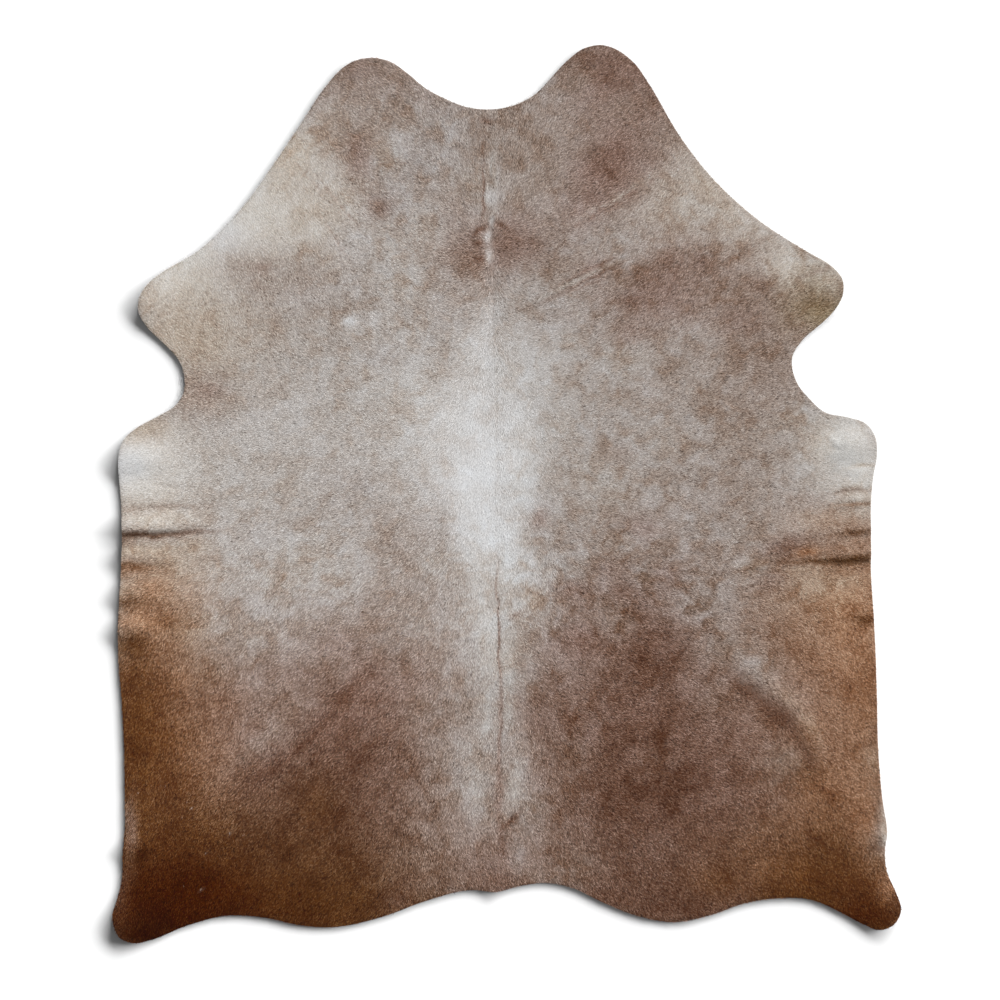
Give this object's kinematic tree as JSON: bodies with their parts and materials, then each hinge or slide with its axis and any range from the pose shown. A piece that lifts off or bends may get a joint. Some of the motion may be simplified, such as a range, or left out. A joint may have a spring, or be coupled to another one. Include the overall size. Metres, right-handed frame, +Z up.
{
  "type": "hair-on cowhide rug",
  "caption": "Whole cow's hide tanned with its hair on, lying flat as a floor rug, with neck lobes, leg ends and creased flanks.",
  "frame": {"origin": "on the floor, at the middle of the hide's width and length", "axes": "+Z up out of the hair side, +Y along the spine towards the neck, +X towards the right flank as seen from above with the neck up"},
  "size_m": [1.971, 2.2452, 0.0202],
  "materials": {
    "hair_on_leather": "short lying hair, mottled silver taupe and chestnut brown, with a pale stripe along the spine"
  },
  "bodies": {
    "root": {"hide": "hair_on_leather"}
  },
  "joints": []
}
